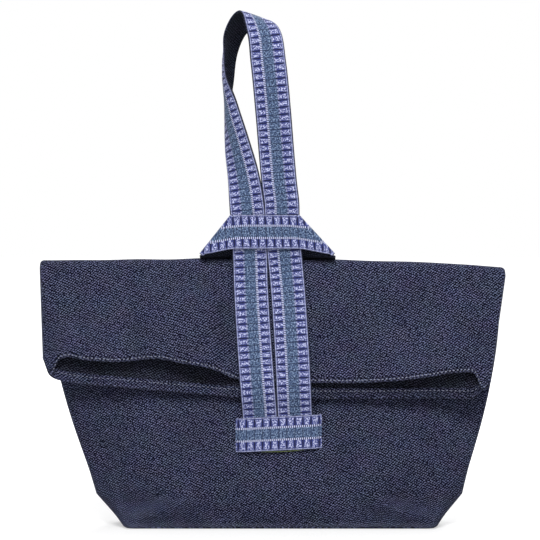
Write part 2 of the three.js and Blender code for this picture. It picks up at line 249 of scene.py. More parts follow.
def cloth_sheet(
    name: str,
    points: Array,
    uv: Array,
    thickness: float,
    finishes: list[bpy.types.Material],
    wear_and_shade: Array | None = None,
    even: bool = True,
) -> bpy.types.Object:
    """Shapes a grid into a sheet of cloth with thickness.

    Args:
        name: The piece's name.
        points: The sheet's middle surface, [row][column][xyz].
        uv: Millimetres across and along the cloth, [row][column][uv].
        thickness: The cloth's thickness.
        finishes: The outer face's material, and the inner face's where it differs.
        wear_and_shade: How much each point is rubbed pale, from 0 to 1; below 0, how much painted shade darkens it.
        even: Whether the thickness is kept in bends: not where the cloth is folded sharply.

    Returns:
        The finished piece.
    """
    rows, columns = points.shape[:2]
    bpy.ops.object.select_all(action="DESELECT")
    bpy.ops.mesh.primitive_grid_add(x_subdivisions=columns - 1, y_subdivisions=rows - 1, size=2, location=(0, 0, 0))
    piece = bpy.context.active_object
    piece.name = piece.data.name = name
    flat = np.empty(rows * columns * 3, np.float32)
    piece.data.vertices.foreach_get("co", flat)
    flat = flat.reshape(-1, 3)
    column = np.rint((flat[:, 0] + 1) / 2 * (columns - 1)).astype(int)
    row = np.rint((flat[:, 1] + 1) / 2 * (rows - 1)).astype(int)
    piece.data.vertices.foreach_set("co", (points[row, column] * MM).astype(np.float32).ravel())
    corners = np.empty(len(piece.data.loops), np.int32)
    piece.data.loops.foreach_get("vertex_index", corners)
    placed = (uv[row, column] * MM)[corners]
    piece.data.uv_layers.active.data.foreach_set("uv", placed.astype(np.float32).ravel())
    for finish in finishes:
        piece.data.materials.append(finish)
    if wear_and_shade is not None:
        # pale wear where the values are above 0, painted shade where they are below 0
        rubbed = piece.data.attributes.new("wear_and_shade", "FLOAT", "POINT")
        rubbed.data.foreach_set("value", wear_and_shade[row, column].astype(np.float32))
    wall = piece.modifiers.new("wall", "SOLIDIFY")
    wall.thickness = thickness * MM
    wall.offset = 0.0
    wall.use_even_offset = even
    wall.material_offset = len(finishes) - 1
    bpy.ops.object.modifier_apply(modifier=wall.name)
    bpy.ops.object.shade_smooth_by_angle(angle=math.radians(SHARP_ANGLE))
    return piece


@dataclass
class StitchRows:
    """Rows of sewn stitches: one stitch is modelled, and the rest are copies of it."""

    length: float = 2.3
    gap: float = 0.7
    width: float = 0.5
    height: float = 0.3
    dip: float = 0.35  # how far the ends sink into the cloth

    def model(self) -> tuple[Array, list[tuple[int, ...]]]:
        """Models one stitch, lying along X with its top towards Z.

        Returns:
            Its points and its faces.
        """
        bpy.ops.object.select_all(action="DESELECT")
        bpy.ops.mesh.primitive_uv_sphere_add(segments=6, ring_count=5, radius=0.5, rotation=(0, math.pi / 2, 0))
        sample = bpy.context.active_object
        bpy.ops.object.transform_apply(rotation=True)
        points = np.array([v.co for v in sample.data.vertices])
        points[:, 2] -= self.dip * (2 * points[:, 0]) ** 2
        points *= (self.length, self.width, self.height)
        faces = [tuple(face.vertices) for face in sample.data.polygons]
        bpy.data.objects.remove(sample)
        return points, faces

    def sew(self, name: str, lines: list[tuple[Array, Array]], thread: bpy.types.Material) -> bpy.types.Object:
        """Sews along lines on a surface.

        Args:
            name: The piece's name.
            lines: Each line's points and the surface's normals there.
            thread: The thread's material.

        Returns:
            One piece with all the stitches.
        """
        model, model_faces = self.model()
        points, faces, count = [], [], 0
        for line, normals in lines:
            along = run_length(line)
            middles = np.arange(self.length / 2, along[-1] - self.length / 2, self.length + self.gap)
            for middle in middles:
                here, up, start, end = (
                    np.array([np.interp(at, along, part[:, k]) for k in range(3)])
                    for at, part in (
                        (middle, line),
                        (middle, normals),
                        (middle - self.length / 2, line),
                        (middle + self.length / 2, line),
                    )
                )
                ahead = unit(end - start)
                up = unit(up - ahead * (up @ ahead))
                turn = np.stack([ahead, np.cross(up, ahead), up])
                points.append(here + model @ turn)
                faces += [tuple(i + count for i in face) for face in model_faces]
                count += len(model)
        mesh = bpy.data.meshes.new(name)
        mesh.from_pydata((np.concatenate(points) * MM).tolist(), [], faces)
        mesh.materials.append(thread)
        mesh.shade_smooth()
        piece = bpy.data.objects.new(name, mesh)
        bpy.context.scene.collection.objects.link(piece)
        return piece


def new_finish(name: str) -> tuple[bpy.types.Material, bpy.types.NodeTree]:
    """Starts a material that has its Principled shader and nothing else yet.

    Args:
        name: The material's name.

    Returns:
        The material and its node tree.
    """
    made = bpy.data.materials.new(name)
    made.use_nodes = True
    return made, made.node_tree


@dataclass(frozen=True)
class DenimTwill:
    """Cotton denim, twill woven: indigo warp over pale weft, so the navy face is peppered with slanting flecks."""

    name: str = "denim_twill_indigo"
    dark: str = "#010107"
    middle: str = "#11132b"
    pale: str = "#707595"
    rubbed: str = "#6a6f86"
    sheen: str = "#a9aec4"
    twill_mm: float = 1.9  # real twill lines are about 0.7 mm apart: drawn coarser so that they show
    warp_mm: float = 2.1  # the warp ends that cross them, coarser too
    fleck_mm: float = 1.15  # and so are the weft's flecks
    fade_mm: float = 45.0
    tint_mm: float = 17.0  # patches where the dye leans to violet or teal
    slant: float = 45.0  # of the twill lines
    crossing: float = 68.0  # from the twill lines to the warp ends
    relief_mm: float = 0.6

    def material(self) -> bpy.types.Material:
        """Builds the material on the cloth's own UV map.

        Returns:
            The material.
        """
        made, tree = new_finish(self.name)
        place = add_node(tree, "ShaderNodeUVMap").outputs[0]
        turned = {"Vector": place, "Rotation": (0, 0, math.radians(self.slant))}
        slant = add_node(tree, "ShaderNodeMapping", turned).outputs[0]
        cells = {}
        for name, vector, size_mm, detail in (
            ("fleck", slant, self.fleck_mm, 1.0),
            ("fade", place, self.fade_mm, 2.0),
            ("tint", place, self.tint_mm, 3.0),
        ):
            sizes = {"Vector": vector, "Scale": 1 / (size_mm * MM), "Detail": detail}
            cells[name] = add_node(tree, "ShaderNodeTexNoise", sizes).outputs

        # The weave: flecks, and over them the warp ends and the twill lines.
        weave = cells["fleck"][0]
        for turn, pitch_mm, share in ((self.crossing, self.warp_mm, 0.25), (0, self.twill_mm, 0.28)):
            turned = {"Vector": slant, "Rotation": (0, 0, math.radians(turn))}
            turned = add_node(tree, "ShaderNodeMapping", turned).outputs[0]
            sizes = {"Scale": WAVE_SCALE / (pitch_mm * MM), "Distortion": 2.6, "Detail": 1.0, "Detail Scale": 2.0}
            lines = add_node(tree, "ShaderNodeTexWave", {"Vector": turned, **sizes}).outputs["Fac"]
            inputs = {0: lines, 1: share, 2: weave}
            weave = add_node(tree, "ShaderNodeMath", inputs, operation="MULTIPLY_ADD").outputs[0]
        cloth = add_node(tree, "ShaderNodeValToRGB", {0: weave})
        cloth.color_ramp.elements.new(0.79)
        codes = (self.dark, self.middle, self.pale)
        for stop, position, code in zip(cloth.color_ramp.elements, (0.61, 0.79, 1.0), codes):
            stop.position, stop.color = position, linear(code)

        # Rubbed places show more weft, painted shade darkens the seam groove and the turned-in hem where the attribute
        # is below 0, and the dye is uneven all over.
        worn_and_shaded = add_node(tree, "ShaderNodeAttribute", attribute_name="wear_and_shade").outputs["Fac"]
        rub = add_node(tree, "ShaderNodeMath", {0: worn_and_shaded, 1: weave}, operation="MULTIPLY", use_clamp=True).outputs[0]
        faded = {0: cells["fade"][0], 1: 0.3, 2: 0.7, 3: 0.88, 4: 1.1}
        # painted shade: below 0 the attribute darkens the colour, down to 0.3 of it at -1
        pressed = {0: worn_and_shaded, 1: -1.0, 2: 0.0, 3: 0.3, 4: 1.0}
        fade_and_shade = [add_node(tree, "ShaderNodeMapRange", levels).outputs[0] for levels in (faded, pressed)]
        fade_and_shade = add_node(tree, "ShaderNodeMath", dict(enumerate(fade_and_shade)), operation="MULTIPLY").outputs[0]
        colour = cloth.outputs[0]
        for share, over, blend in (
            (rub, linear(self.rubbed), "MIX"),
            (1.0, fade_and_shade, "MULTIPLY"),
            (0.2, cells["tint"]["Color"], "SOFT_LIGHT"),
        ):
            inputs = {0: share, 6: colour, 7: over}
            colour = add_node(tree, "ShaderNodeMix", inputs, data_type="RGBA", blend_type=blend).outputs[2]
        relief = {"Height": weave, "Strength": 0.45, "Distance": self.relief_mm * MM}
        coat = {
            "Base Color": colour,
            "Normal": add_node(tree, "ShaderNodeBump", relief).outputs[0],
            "Roughness": 0.92,
            "Specular IOR Level": 0.06,
            "Sheen Weight": 0.03,
            "Sheen Roughness": 0.45,
            "Sheen Tint": linear(self.sheen),
        }
        feed(tree.nodes["Principled BSDF"], coat)
        return made


@dataclass(frozen=True)
class JacquardRibbon:
    """Jacquard-woven cotton ribbon: rows of lavender triangles along both edges, a slate band between, pale dashes."""

    name: str = "jacquard_ribbon_woven"
    dots: DotRows = DotRows.ONE
    pitch_mm: float = 6.5
    row_mm: float = 10.4  # depth of a row of triangles
    thread_mm: float = 1.35  # real threads are about 0.3 mm apart: drawn coarser so that they show
    rib_mm: float = 0.9  # the ribs of the weft, coarser too
    relief_mm: float = 0.4
    navy: str = "#0a0e32"
    purple: str = "#343d7c"
    lavender: str = "#384180"
    pale: str = "#c6cbee"
    slate: str = "#41557a"
    slate_dark: str = "#15213e"
    slate_pale: str = "#90a4c2"
    selvedge: str = "#a2a8d0"

    def material(self) -> bpy.types.Material:
        """Builds the material: U runs across the ribbon from edge to edge, V along it.

        Returns:
            The material.
        """
        made, tree = new_finish(self.name)
        uv = add_node(tree, "ShaderNodeUVMap").outputs[0]
        across, along, _ = add_node(tree, "ShaderNodeSeparateXYZ", {0: uv}).outputs
        threads = {"Vector": uv, "Scale": 1 / (self.thread_mm * MM), "Detail": 1.0}
        ribs = {"Vector": uv, "Scale": WAVE_SCALE / (self.rib_mm * MM), "Distortion": 0.6}
        found = {  # sockets by name
            "across": across,
            "along": along,
            "weave": add_node(tree, "ShaderNodeTexNoise", threads).outputs[0],
            "ribs": add_node(tree, "ShaderNodeTexWave", ribs, bands_direction="Y").outputs["Fac"],
        }
        half, row, pitch = RIBBON_WIDTH * MM / 2, self.row_mm * MM, self.pitch_mm * MM
        for name, operation, *parts in (
            ("from_middle", "SUBTRACT", "across", half),
            ("reach", "ABSOLUTE", "from_middle"),
            ("edge", "SUBTRACT", half, "reach"),  # distance from the nearer edge
            ("turns", "MULTIPLY", "along", 1 / pitch),
            ("part", "FRACT", "turns"),
            ("shift", "SUBTRACT", "part", 0.5),
            ("phase", "ABSOLUTE", "shift"),  # 0 in a triangle's middle, 0.5 between two
            ("wedge", "MULTIPLY_ADD", "edge", 0.28 / row, "phase"),
            ("ragged", "MULTIPLY_ADD", "weave", 0.25, "wedge"),
            ("gap", "MULTIPLY_ADD", "weave", 0.2, "phase"),
            ("twice", "MULTIPLY", "turns", 2.0),
            ("saw", "PINGPONG", "twice", 0.5),
            ("quarters", "MULTIPLY", "along", 4 / pitch),
            ("quarter", "FRACT", "quarters"),
            ("near", "COMPARE", "edge", row - 0.5 * MM, 0.9 * MM),
            ("right", "GREATER_THAN", "from_middle", 0.0),
            ("sides", "MAXIMUM", "right", self.dots.value),
            ("dashes", "MULTIPLY", "near", "sides"),
            ("beside", "COMPARE", "edge", 1.8 * MM, 0.4 * MM),
            ("seam", "MULTIPLY", "beside", 0.7),
            ("height", "MULTIPLY", "ribs", "weave"),
        ):
            inputs = {place: found.get(part, part) for place, part in enumerate(parts)}
            found[name] = add_node(tree, "ShaderNodeMath", inputs, operation=operation).outputs[0]
        for name, source, start, end, most in (  # how far each layer covers: nothing at start, most of it from end on
            ("triangle", "ragged", 0.62, 0.52, 1.0),
            ("hatch", "weave", 0.45, 0.59, 1.0),
            ("line", "gap", 0.48, 0.54, 0.97),
            ("tooth", "saw", 0.2, 0.32, 1.0),
            ("tips", "edge", 8.8 * MM, 9.4 * MM, 0.45),
            ("bars", "phase", 0.40, 0.46, 0.7),
            ("middle", "edge", row - 0.2 * MM, row + 0.2 * MM, 1.0),
            ("bead", "quarter", 0.4, 0.6, 1.0),
            ("border", "edge", 1.3 * MM, 1.0 * MM, 0.7),
            ("rim", "edge", 0.7 * MM, 0.4 * MM, 0.85),
        ):
            levels = {0: found[source], 1: start, 2: end, 3: 0.0, 4: most}
            found[name] = add_node(tree, "ShaderNodeMapRange", levels).outputs[0]
        band = add_node(tree, "ShaderNodeValToRGB", {0: found["weave"]})
        band.color_ramp.elements.new(0.5)
        codes = (self.slate_dark, self.slate, self.slate_pale)
        for stop, position, code in zip(band.color_ramp.elements, (0.32, 0.5, 0.72), codes):
            stop.position, stop.color = position, linear(code)
        named = ("navy", "purple", "lavender", "pale", "slate_dark", "selvedge")
        tones = {name: linear(getattr(self, name)) for name in named} | {"slate": band.outputs[0]}
        for name, share, under, over in (
            ("motif", "hatch", "lavender", "pale"),  # triangles, hatched with pale threads, broad at the edge
            ("face", "triangle", "purple", "motif"),
            ("face", "line", "face", "navy"),  # a dark line between each two
            ("teeth", "tooth", "navy", "pale"),  # pale teeth where they meet the slate band
            ("face", "tips", "face", "teeth"),
            ("band", "bars", "slate", "slate_dark"),  # the flecked band, with a faint dark bar between each two
            ("face", "middle", "face", "band"),
            ("beads", "bead", "slate_dark", "pale"),  # short dashes along the band, on one side or on both
            ("face", "dashes", "face", "beads"),
            ("face", "border", "face", "selvedge"),  # a pale selvedge with a dark rim
            ("face", "rim", "face", "navy"),
            ("face", "seam", "face", "purple"),  # and the line sewn beside it
        ):
            inputs = {0: found[share], 6: tones[under], 7: tones[over]}
            tones[name] = add_node(tree, "ShaderNodeMix", inputs, data_type="RGBA").outputs[2]
        relief = {"Height": found["height"], "Strength": 0.3, "Distance": self.relief_mm * MM}
        coat = {
            "Base Color": tones["face"],
            "Normal": add_node(tree, "ShaderNodeBump", relief).outputs[0],
            "Roughness": 0.75,
            "Specular IOR Level": 0.25,
            "Sheen Weight": 0.1,
        }
        feed(tree.nodes["Principled BSDF"], coat)
        return made


@dataclass(frozen=True)
class SewingThread:
    """Twisted polyester sewing thread: a slight shine and a fine twist along each stitch."""

    name: str
    colour: str
    twist_mm: float = 0.5

    def material(self) -> bpy.types.Material:
        """Builds the material.

        Returns:
            The material.
        """
        made, tree = new_finish(self.name)
        place = add_node(tree, "ShaderNodeTexCoord").outputs["Object"]
        sizes = {"Vector": place, "Scale": 1 / (self.twist_mm * MM), "Detail": 1.0}
        twist = add_node(tree, "ShaderNodeTexNoise", sizes).outputs[0]
        tone = add_node(tree, "ShaderNodeMapRange", {0: twist, 1: 0.3, 2: 0.7, 3: 0.8, 4: 1.15}).outputs[0]
        inputs = {0: 1.0, 6: linear(self.colour), 7: tone}
        colour = add_node(tree, "ShaderNodeMix", inputs, data_type="RGBA", blend_type="MULTIPLY").outputs[2]
        feed(tree.nodes["Principled BSDF"], {"Base Color": colour, "Roughness": 0.6})
        return made


@dataclass
class BagForm:
    """The bag's sizes and the surfaces that its cloths follow."""

    base_width: float = 287.0
    base_depth: float = 72.0
    gusset_depth: float = 74.0
    gusset_rise: float = 33.0
    squareness: float = 14.0
    roundness: float = 3.0
    corner_sharpness: float = 60.0
    corner_height: float = 8.0  # the boxed corners soften over about this height
    seam_gap: float = 2.7
    fold_shift: float = -7.0
    fold_half: float = 212.0
    mouth_shift: float = -12.5
    mouth_half: float = 202.5
    axis_y: float = -5.3
    axis_z: float = 230.7
    bend_reach: float = 5.3  # from the fold's axis to the middle between the two cloths, at the back
    flap_reach: float = 6.8  # and at the flap
    flap_turn: float = 170.157
    gape: float = 9.0
    strap_foot_x: float = -2.6
    strap_lean: float = 3.6
    patch_top: float = 100.5
    sides: tuple = (  # heights, and half the width across the side seams there
        (28, 167.6), (40, 170.8), (50, 173.6), (71, 180.4), (90, 186.4), (115, 193.3), (131, 197.1), (160, 202.6),
        (200, 207.6), (230.7, 212),
    )
    crest: tuple = (  # places across, and how much higher the top fold lies there than its plain crest
        (-222, 2.4), (-208, 2.2), (-150, 2.7), (-60, 3.5), (20, 3.2), (74, 2.1), (161, -1.3), (206, -4.4),
    )

    def half_width(self, z: Array | float) -> Array:
        """Half the width across the side seams.

        Args:
            z: Heights.

        Returns:
            Half the width at each.
        """
        places, values = np.transpose(self.sides)
        foot = self.base_width / 2
        corner = foot + (values[0] - foot) * np.asarray(z, float) / places[0]
        return np.where(np.asarray(z) < places[0], corner, smooth_through(places, values, z))

    def centre_x(self, z: float) -> float:
        """The body's middle line leans a little to the left."""
        return self.fold_shift * z / self.axis_z

    def slope(self) -> float:
        """How much the body's half depth shrinks for each unit of height."""
        return (self.gusset_depth / 2 - self.seam_gap) / (self.axis_z - self.gusset_rise)

    def half_depth(self, u: Array | float, z: float) -> Array:
        """Half the body's depth.

        Args:
            u: Place across the body, -1 and 1 at the side seams.
            z: Height.

        Returns:
            The distance from the body's middle plane.
        """
        share = z / self.gusset_rise
        boxed = (self.base_depth + (self.gusset_depth - self.base_depth) * share) / 2
        centre = min(boxed, self.seam_gap + self.slope() * (self.axis_z - z))
        power = self.roundness + (self.squareness - self.roundness) * math.exp(-z / self.gusset_rise)
        power += self.corner_sharpness * math.exp(-z / self.corner_height)
        return self.seam_gap + (centre - self.seam_gap) * (1 - np.abs(u) ** power)

    def outward(self) -> Array:
        """The direction that the flap faces."""
        turn = math.radians(self.flap_turn)
        return np.array([0, math.cos(turn), math.sin(turn)])

    def downward(self) -> Array:
        """The direction down the flap."""
        turn = math.radians(self.flap_turn)
        return np.array([0, -math.sin(turn), math.cos(turn)])

    def strap_x(self, z: Array | float) -> Array:
        """The strap's middle line leans to the left as it rises."""
        return self.strap_foot_x - math.tan(math.radians(self.strap_lean)) * (np.asarray(z, float) - self.patch_top)

    def crest_rise(self, x: Array | float) -> Array:
        """How much higher the top fold lies than its plain crest: high in the middle, low at the right."""
        return smooth_through(*np.transpose(self.crest), x)

    def on_flap(self, x: Array, lift: Array | float, down: Array | float) -> Array:
        """Places on the flap.

        Args:
            x: Places across.
            lift: Distance from the fold's axis, at right angles to the flap.
            down: Distance down the flap from where it leaves the fold.

        Returns:
            The points.
        """
        start = np.array([0, self.axis_y, self.axis_z])
        shape = np.broadcast(x, lift, down).shape
        lift, down = np.broadcast_to(lift, shape), np.broadcast_to(down, shape)
        points = start + lift[..., None] * self.outward() + down[..., None] * self.downward()
        points[..., 0] = x
        return points


@dataclass
class DenimShell:
    """The two denim cloths that make the body and the folded top, and the base between them."""

    form: BagForm
    denim: bpy.types.Material
    # the inner face: the cloth's own dark inner side, made darker still as painted shade
    shaded_inside: bpy.types.Material
    thread: bpy.types.Material
    cloth: float = 1.2
    cut_area: float = 0.1467  # square metres of each cloth
    bottom_round: float = 1.6
    edge_round: float = 3.2
    hem: float = 8.0
    hem_round: float = 0.9
    flap_length: float = 95.0  # about, from the fold to a lip
    lip_zone: float = 10.0  # the rows lie close together this near the lip
    lip_row: int = -10  # the last row before the lip turns into the hem
    outer_seam: float = 2.2  # from the outer lip to the seam pressed into its hem
    inner_seam: float = 5.0
    groove: float = 0.9
    puff: float = 0.7  # how far the hem swells between seam and lip
    back_swell: Swell = Swell(1.6, 95, 11)
    front_swells: tuple = (Swell(1.7, 85, 5), Swell(0.6, 38, 8))
    fold_swell: Swell = Swell(0.5, 60, 21)
    inner_swell: Swell = Swell(0.5, 70, 31)
    outer_swells: tuple = (Swell(1.3, 75, 41), Swell(0.5, 33, 44))
    hollow: float = 10.0  # depth of the dents above the base's corners
    ridge: float = 2.4  # height of the creases under them
    foot_tuck: float = 2.6  # how far the front draws in at its foot
    proud: float = 4.0  # the most that the front may stand off
    strap_half: float = 33.0  # from the strap's middle to just past its edge
    left_bulge: float = 13.0  # how far the outer lip stands off beside the strap
    right_bulge: float = 3.0
    seam_columns: tuple = (0, 0.3, 0.8, 1.6, 2.8, 4.4, 6, 7.5, 9, 10.5, 12, 14, 16.5, 19.5)  # from a side seam
    seam_zone: float = 22.5
    plain_columns: int = 115  # between the two zones
    outer_lip: tuple = (  # places across, and the lip's height there
        (-219, 162), (-216, 156.5), (-213.6, 151.5), (-211.6, 146), (-209.6, 141.6), (-207.4, 139.6), (-205.6, 142),
        (-203.6, 148.4), (-200.4, 153), (-196.9, 154.6), (-177, 152.6), (-147, 151), (-110, 153.4), (-86, 148.8),
        (-63, 144.3), (-40, 136.5), (-15, 134), (35, 133), (75, 132.8), (103, 134), (133, 137.4), (156, 141),
        (166, 141.9), (172, 142), (175, 141.2), (177.4, 138.6), (179.6, 133.4), (181.6, 128.4), (183.6, 127),
        (187, 129.8), (192, 134.8),
    )
    inner_lip: tuple = (
        (-219, 162), (-216, 156), (-214, 151.4), (-212.2, 146.6), (-210.4, 141.4), (-207.2, 138), (-202.6, 135.6),
        (-197, 134.4), (-178, 131.5), (-146, 128.8), (-102, 125), (-65, 122), (-40, 120), (35, 118.5), (103, 118.5),
        (148, 119), (170, 118.6), (174, 118.8), (177.5, 120.6), (183, 126), (187, 129.4), (192, 134.4),
    )

    def across(self, half: float) -> Array:
        """Columns of the cloth, closer together at the side seams.

        Args:
            half: Half the width.

        Returns:
            Distances from the middle.
        """
        near = np.array(self.seam_columns)
        inner = np.linspace(-1, 1, self.plain_columns) * (half - self.seam_zone)
        return np.concatenate([near - half, inner, (half - near)[::-1]])

    def pinch(self, inset: Array) -> Array:
        """Rounds the cloth into the side seam: 0 at the seam, 1 a few millimetres in."""
        t = 1 - np.clip(inset / self.edge_round, 0, 1)
        return np.sqrt(1 - t * t)

    def corner_dent(self, x: Array, z: float) -> Array:
        """The hollow above the ridge that runs up from the base's left corner, 1 where it is deepest.

        Args:
            x: Places across.
            z: Height.

        Returns:
            The hollow's share of its full depth.
        """
        foot_x, foot_z, run_x, run_z = -136, 4, 52, 23  # the ridge's foot, and its run from there
        along = ((x - foot_x) * run_x + (z - foot_z) * run_z) / (run_x**2 + run_z**2)
        above = ((z - foot_z) * run_x - (x - foot_x) * run_z) / math.hypot(run_x, run_z)
        ends = smoothstep(along, -0.3, 0.1) * (1 - smoothstep(along, 0.5, 1.05))
        return smoothstep(above, 0, 10) * (1 - smoothstep(above, 9, 52)) * ends

    def body_swell(self, panel: Panel, x: Array, z: float) -> Array:
        """How far the soft body stands off its plain form.

        Args:
            panel: The front or the back.
            x: Places across.
            z: Height.

        Returns:
            The distance outwards.
        """
        if panel is Panel.BACK:
            # The keeper's legs hold the cloth flat.
            beside_legs = 1 - crease(x, z, (-2.6, 60), (-14, 230), 75)
            free = smoothstep(z, 4, 40) * (1 - smoothstep(z, 190, 228))
            return self.back_swell.over(x, z) * (0.25 + 0.75 * beside_legs) * free
        clear = smoothstep(z, 1, 14) * (1 - smoothstep(z, 92, 118))  # flat at the foot and under the flap
        calm = 1 - crease(x, z, (-34, 84), (30, 84), 34)  # and round the patch
        swell = sum(soft.over(x, z) for soft in self.front_swells) * calm
        for side in Side:
            swell = swell - self.hollow * self.corner_dent(-side.value * x, z)
            swell = swell + self.ridge * crease(side.value * x, z, (134, 4), (84, 26), 8)
        return np.minimum(swell * clear - self.foot_tuck * (1 - smoothstep(z, 1, 24)), self.proud)

    def body_row(self, panel: Panel, z: float, tuck: float = 0.0) -> Array:
        """One row of a body panel.

        Args:
            panel: The front or the back.
            z: Height.
            tuck: How far the row is drawn in under the base.

        Returns:
            The row's points.
        """
        half = float(self.form.half_width(z))
        off = self.across(half)
        inset = half - np.abs(off)
        depth = self.form.half_depth(off / half, z)
        depth = depth + self.body_swell(panel, off, z) * smoothstep(inset, 2, 30)
        depth = depth * self.pinch(inset)
        full = depth.max()
        x = self.form.centre_x(z) + off * (half - tuck) / half
        y = panel.value * depth * (full - tuck) / full
        return np.stack([x, y, np.full_like(x, z)], axis=1)

    def bend_row(self, panel: Panel, turn: float) -> Array:
        """One row of the top fold.

        Args:
            panel: Which cloth.
            turn: Degrees about the fold's axis, from the back.

        Returns:
            The row's points.
        """
        form = self.form
        off = self.across(form.fold_half)
        inset = form.fold_half - np.abs(off)
        share = turn / form.flap_turn
        middle = form.bend_reach + (form.flap_reach - form.bend_reach) * share
        soft = self.fold_swell.over(off, 240.0) * math.sin(math.pi * share)
        reach = middle + panel.value * form.seam_gap * self.pinch(inset) + soft * smoothstep(inset, 2, 30)
        angle = math.radians(turn)
        y, z = form.axis_y + reach * math.cos(angle), form.axis_z + reach * math.sin(angle)
        return np.stack([form.fold_shift + off, y, z], axis=1)

    def flap_swell(self, panel: Panel, x: Array, z: Array, share: float) -> Array:
        """How far a flap layer stands off the flat flap.

        Args:
            panel: Which cloth.
            x: Places across.
            z: Heights.
            share: Share of the way from the fold to the lip.

        Returns:
            The distance outwards.
        """
        strap = self.form.strap_x(z)
        beside = np.abs(x - strap)
        free = smoothstep(beside, 34, 62)
        if panel is Panel.FRONT:
            return (self.inner_swell.over(x, z) + 0.4) * free * share
        lift = self.form.gape * share**2 * smoothstep(np.abs(x - self.form.strap_foot_x), 47, 126)
        soft = sum(part.over(x, z) for part in self.outer_swells) * smoothstep(share, 0.0, 0.3) * free
        left, right = strap - self.strap_half - x, x - strap - self.strap_half
        swell = self.left_bulge * smoothstep(left, 0, 25) * (1 - smoothstep(left, 27, 95))
        swell = swell * smoothstep(share, 0.02, 0.42)
        beyond = self.right_bulge * smoothstep(right, 0, 13) * (1 - smoothstep(right, 15, 60))
        swell = swell + beyond * smoothstep(share, 0.05, 0.6)
        return lift + soft + swell

    def flap_rows(self, panel: Panel, count: int) -> list[Array]:
        """The rows of one layer of the flap, from the fold to the lip, and round the lip into the hem.

        Args:
            panel: Which cloth.
            count: How many rows down to the lip.

        Returns:
            The rows.
        """
        form, outer = self.form, panel is Panel.BACK
        last = form.mouth_shift + self.across(form.mouth_half)
        lip_z = smooth_through(*np.transpose(self.outer_lip if outer else self.inner_lip), last)
        out, down = form.outward(), form.downward()
        drop = (form.axis_z + (form.flap_reach + panel.value * form.seam_gap) * out[2] - lip_z) / -down[2]
        seam = self.outer_seam if outer else self.inner_seam
        near = seam + np.array([3.2, 2, 1, 0.5, 0, -0.5, -1.1, 0.9 - seam])  # distances from the lip
        plain = np.linspace(0, 1 - self.lip_zone / self.flap_length, count)[1:]
        rows = []
        for share in [*plain, *(1 - near / self.flap_length), 1.0]:
            half = form.fold_half + (form.mouth_half - form.fold_half) * share
            off = self.across(half)
            inset = half - np.abs(off)
            x = form.fold_shift + (form.mouth_shift - form.fold_shift) * share + off
            z = form.axis_z + drop * share * down[2]
            swell = self.flap_swell(panel, x, z, share) * smoothstep(inset, 1, 34)
            to_lip = (1 - share) * self.flap_length
            pressed = self.groove * math.exp(-((to_lip - seam) ** 2) / 0.5)
            puffed = self.puff * math.sin(math.pi * min(to_lip / seam, 1))
            swell = swell - panel.value * (pressed - puffed) * smoothstep(inset, 4, 10)
            gap = form.seam_gap * self.pinch(inset)
            rows.append(form.on_flap(x, form.flap_reach + panel.value * gap + swell, drop * share))
        round_off = self.hem_round * (0.35 + 0.65 * self.pinch(inset))[:, None]
        centre = rows[-1] - panel.value * round_off * out
        for turn in np.radians([30, 60, 90, 120, 150, 180]):
            rows.append(centre + round_off * (math.cos(turn) * panel.value * out + math.sin(turn) * down))
        for _ in range(3):
            rows.append(rows[-1] - down * self.hem / 3)
        return rows

    def droop(self, points: Array) -> Array:
        """Lets the top fold rise in the middle and hang at its right end.

        Args:
            points: The cloth's points.

        Returns:
            The points after it.
        """
        points = points.copy()
        x, z = points[..., 0], points[..., 2]
        points[..., 2] += self.form.crest_rise(x) * smoothstep(z, 150, 235)
        return points

    def cut(self, panel: Panel) -> tuple[Array, Array]:
        """Shapes one whole cloth, from under the base over the fold to its hem.

        Args:
            panel: Which cloth.

        Returns:
            The cloth's points and its flat coordinates.
        """
        r, low = self.bottom_round, self.cloth / 2
        under = np.radians([-90, -65, -40, -20])
        rows = [self.body_row(panel, low + r * (1 + math.sin(a)), r * (1 - math.cos(a))) for a in under]
        heights = [*np.linspace(low + r, 42, 24)[:-1], *np.linspace(42, self.form.axis_z, 50)]
        rows += [self.body_row(panel, z) for z in heights]
        rows += [self.bend_row(panel, turn) for turn in np.linspace(0, self.form.flap_turn, 18)[1:]]
        rows += self.flap_rows(panel, 28 if panel is Panel.BACK else 33)
        points = self.droop(np.stack(rows))
        if panel is Panel.BACK:
            points = points[:, ::-1]
        along = run_length(points)
        along -= along[len(heights) + 12]  # measured from the top fold
        uv = np.stack([-panel.value * points[..., 0], along], axis=-1)
        return points, uv

    def wear_and_shade(self, panel: Panel, points: Array) -> Array:
        """Where the cloth is rubbed pale: round the lip, along the side seams and at the base's edge; and where
        painted shade darkens it: in the outer cloth's seam groove and on the turned-in hem.

        Args:
            panel: Which cloth.
            points: The cloth's points.

        Returns:
            The wear (above 0) and the painted shade (below 0) at each point.
        """
        worn_and_shaded, lip = np.zeros(points.shape[:2]), self.lip_row
        worn_and_shaded[lip : lip + 5] = np.array([0.2, 0.7, 0.8, 0.5, 0.2])[:, None]
        if panel is Panel.BACK:
            worn_and_shaded[lip : lip + 5] *= 0.25  # its beads of thread take the rubbing
            worn_and_shaded[lip - 5 : lip - 2] = np.array([-0.4, -0.9, -0.4])[:, None]  # painted shade: a dark line in the groove of the pressed seam
        hem_shade = 0.15 + 0.45 * smoothstep(points[lip + 5 :, :, 0], -120, 60)  # painted shade on the turned-in hem, darker towards the right
        worn_and_shaded[lip + 5 :] = np.array([0.3, 0.2, 0.0, 0.0, 0.0])[:, None] - hem_shade
        for part, least in ((np.s_[:, :3], 0.35), (np.s_[:, -3:], 0.35), (np.s_[2:6], 0.25)):
            worn_and_shaded[part] = np.maximum(worn_and_shaded[part], least)
        return worn_and_shaded

